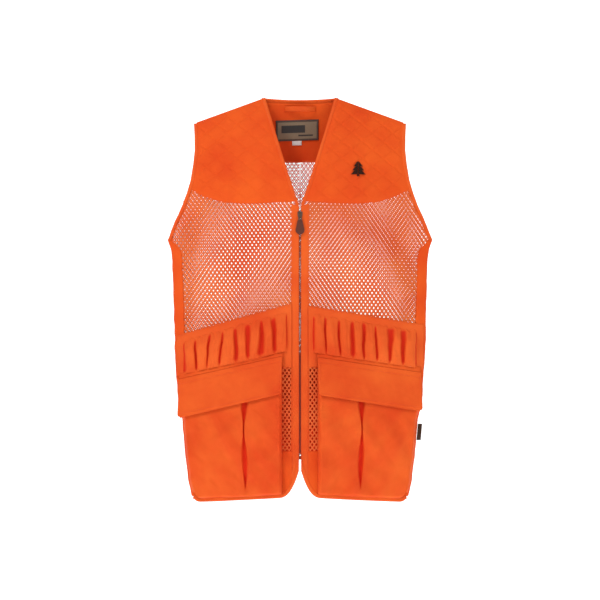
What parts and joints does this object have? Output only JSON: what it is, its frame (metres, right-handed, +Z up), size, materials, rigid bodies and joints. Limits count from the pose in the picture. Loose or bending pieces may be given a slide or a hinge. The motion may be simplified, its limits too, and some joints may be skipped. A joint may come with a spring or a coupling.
{
  "type": "blaze orange vest",
  "caption": "Sleeveless field vest in solid and mesh cloth with a front zip, shell loops, flapped cargo pockets and a game pouch, hanging from a neck loop.",
  "frame": {"origin": "middle of the gap of the hanger loop at the inside back of the neck, where a hook goes", "axes": "+Z up, the front of the vest faces -Y, +X is the wearer's left"},
  "size_m": [0.4694, 0.107, 0.7158],
  "materials": {
    "mesh_cloth": "open polyester mesh",
    "quilted_cloth": "quilted woven polyester",
    "plain_cloth": "woven polyester",
    "pocket_cloth": "woven polyester",
    "binding_cloth": "bias binding",
    "zip_metal": "brown-black plated",
    "zip_teeth": "moulded",
    "zip_tape": "woven tape",
    "puller": "dark brown",
    "brown_weave": "woven label",
    "white_weave": "woven tab"
  },
  "bodies": {
    "vest": {"back_yoke": "plain_cloth", "back_mesh": "mesh_cloth", "back_lower_panel": "pocket_cloth", "game_pouch": "pocket_cloth", "front_yoke_left": "quilted_cloth", "front_yoke_right": "quilted_cloth", "front_mesh_left": "mesh_cloth", "front_mesh_right": "mesh_cloth", "side_strip_left": "plain_cloth", "side_strip_right": "plain_cloth", "zip_facing_left": "plain_cloth", "zip_facing_right": "plain_cloth", "zip_tape_left": "zip_tape", "zip_tape_right": "zip_tape", "zip_teeth_left": "zip_teeth", "zip_teeth_right": "zip_teeth", "neck_binding_left": "binding_cloth", "neck_binding_right": "binding_cloth", "neck_binding_back": "binding_cloth", "armhole_binding_front_left": "binding_cloth", "armhole_binding_front_right": "binding_cloth", "armhole_binding_back_left": "binding_cloth", "armhole_binding_back_right": "binding_cloth", "hem_binding_left": "binding_cloth", "hem_binding_right": "binding_cloth", "hem_binding_back": "binding_cloth", "shell_band_left": "pocket_cloth", "shell_band_right": "pocket_cloth", "shell_loops_left": "pocket_cloth", "shell_loops_right": "pocket_cloth", "pocket_left": "pocket_cloth", "pocket_right": "pocket_cloth", "flap_header_left": "pocket_cloth", "flap_header_right": "pocket_cloth", "zip_top_stops": "zip_metal", "zip_retainer": "zip_teeth", "hanger_loop": "binding_cloth", "neck_label": "brown_weave", "size_tab": "white_weave", "side_tag": "brown_weave", "chest_mark": "brown_weave"},
    "zip_slider": {"zip_slider": "zip_metal"},
    "zip_puller": {"zip_link": "zip_metal", "zip_puller": "puller"},
    "pocket_flap_left": {"pocket_flap_left": "pocket_cloth"},
    "pocket_flap_right": {"pocket_flap_right": "pocket_cloth"}
  },
  "joints": [
    {"name": "zip_slide", "type": "slide", "parent": "vest", "child": "zip_slider", "axis": [0, 0, -1], "range_m": [0, 0.414]},
    {"name": "zip_puller_hinge", "type": "hinge", "parent": "zip_slider", "child": "zip_puller", "pos_m": [0, -0.0439, -0.1904], "axis": [-1, 0, 0], "range_deg": [0, 160]},
    {"name": "pocket_flap_left_hinge", "type": "hinge", "parent": "vest", "child": "pocket_flap_left", "pos_m": [0.031, -0.0469, -0.439], "axis": [-0.9694, -0.1954, 0.1483], "range_deg": [0, 120]},
    {"name": "pocket_flap_right_hinge", "type": "hinge", "parent": "vest", "child": "pocket_flap_right", "pos_m": [-0.031, -0.0469, -0.437], "axis": [-0.9564, 0.1928, -0.2195], "range_deg": [0, 120]}
  ]
}
